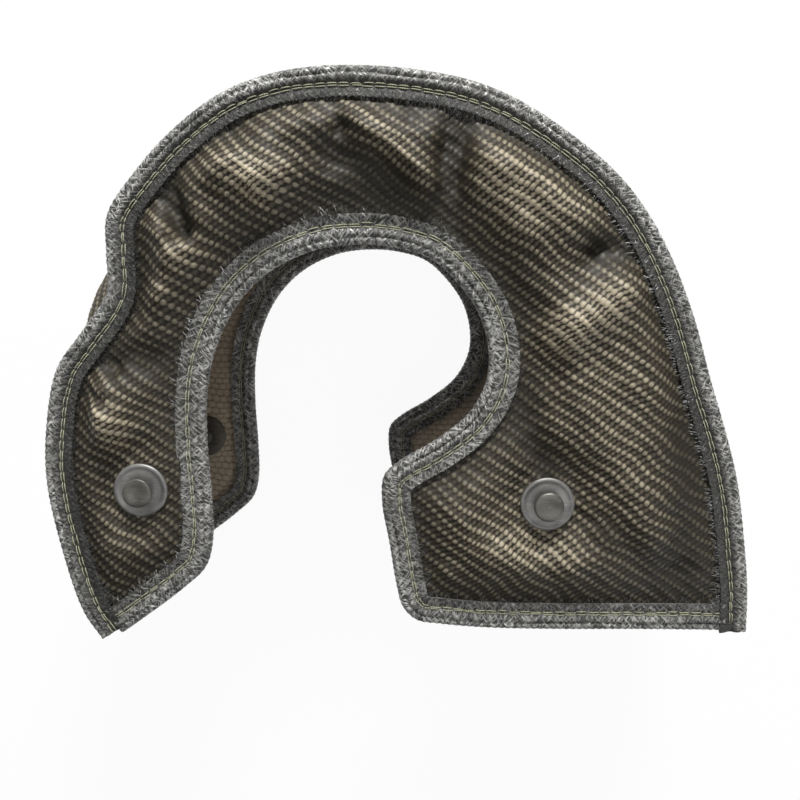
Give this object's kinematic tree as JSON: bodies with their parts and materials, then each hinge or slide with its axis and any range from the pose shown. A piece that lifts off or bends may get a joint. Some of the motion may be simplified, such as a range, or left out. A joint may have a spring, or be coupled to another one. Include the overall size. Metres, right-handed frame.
{
  "type": "turbo heat blanket",
  "caption": "Padded C-shaped sleeve that wraps a turbine housing to hold its heat in, with wire-mesh bound seams and lacing studs on both panels.",
  "frame": {"origin": "on the surface the blanket lies on, under the middle of its bounding box", "axes": "+Z out of the front panel along the housing's axis, +Y from the open legs to the top of the arc, +X to the wide leg"},
  "size_m": [0.2078, 0.1654, 0.0954],
  "materials": {
    "cover_cloth": "coarse olive-brown mineral twill",
    "insulation_mat": "needled fibre mat",
    "liner_mesh": "brown cloth under a knitted wire grid",
    "wire_tape": "knitted wire mesh tape",
    "rivet_steel": "satin, lightly scratched"
  },
  "bodies": {
    "root": {"front_cover": "cover_cloth", "front_insulation": "insulation_mat", "front_liner": "liner_mesh", "front_outer_binding": "wire_tape", "front_inner_binding": "wire_tape", "front_left_stud": "rivet_steel", "front_left_washer": "rivet_steel", "front_left_backing_disc": "rivet_steel", "front_right_stud": "rivet_steel", "front_right_washer": "rivet_steel", "front_right_backing_disc": "rivet_steel", "back_cover": "cover_cloth", "back_insulation": "insulation_mat", "back_liner": "liner_mesh", "back_outer_binding": "wire_tape", "back_inner_binding": "wire_tape", "back_left_stud": "rivet_steel", "back_left_washer": "rivet_steel", "back_left_backing_disc": "rivet_steel", "back_right_stud": "rivet_steel", "back_right_washer": "rivet_steel", "back_right_backing_disc": "rivet_steel", "rim_cover": "cover_cloth", "rim_insulation": "insulation_mat", "rim_liner": "liner_mesh", "rim_left_end_binding": "wire_tape", "rim_right_end_binding": "wire_tape"}
  },
  "joints": []
}
